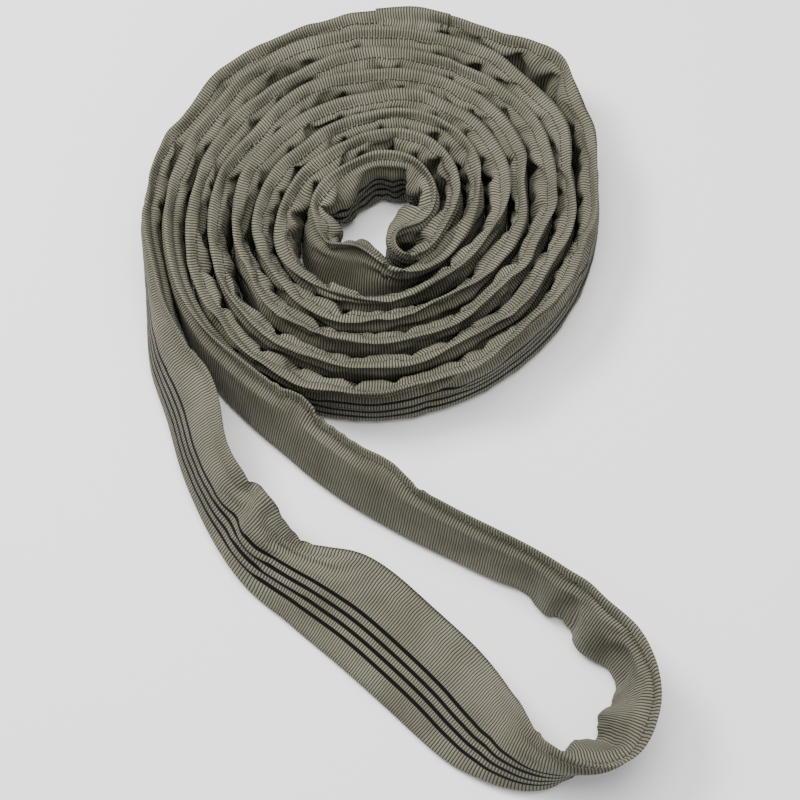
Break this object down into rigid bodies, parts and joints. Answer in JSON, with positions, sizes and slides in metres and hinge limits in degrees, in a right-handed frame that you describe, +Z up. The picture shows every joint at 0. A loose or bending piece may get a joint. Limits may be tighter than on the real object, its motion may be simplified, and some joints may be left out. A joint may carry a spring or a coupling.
{
  "type": "round sling",
  "caption": "Endless round lifting sling: a yarn hank in a woven tubular sleeve, wound into a flat coil with one end left out as a free loop.",
  "frame": {"origin": "bottom centre of the whole sling's box, on the surface that it lies on", "axes": "+Z up from that surface, -Y towards the free loop, +X to the right when looking along +Y"},
  "size_m": [0.3353, 0.5276, 0.059],
  "materials": {
    "woven_sleeve": "ribbed polyester weave, matt",
    "yarn_hank": "undyed polyester filament yarn",
    "sewing_thread": "twisted polyester thread",
    "label_cloth": "coated label cloth, blank"
  },
  "bodies": {
    "coil": {"coil_sleeve": "woven_sleeve", "coil_yarn_hank": "yarn_hank", "coil_seam_thread": "sewing_thread", "sleeve_end_overlap": "woven_sleeve", "overlap_stitch_row_1": "sewing_thread", "overlap_stitch_row_2": "sewing_thread", "identification_label": "label_cloth"},
    "free_loop": {"free_loop_sleeve": "woven_sleeve", "free_loop_yarn_hank": "yarn_hank", "free_loop_seam_thread": "sewing_thread"}
  },
  "joints": [
    {"name": "free_loop_lift", "type": "hinge", "parent": "coil", "child": "free_loop", "pos_m": [-0.08, -0.05, 0.061], "axis": [-1, 0, 0], "range_deg": [0, 45]}
  ]
}
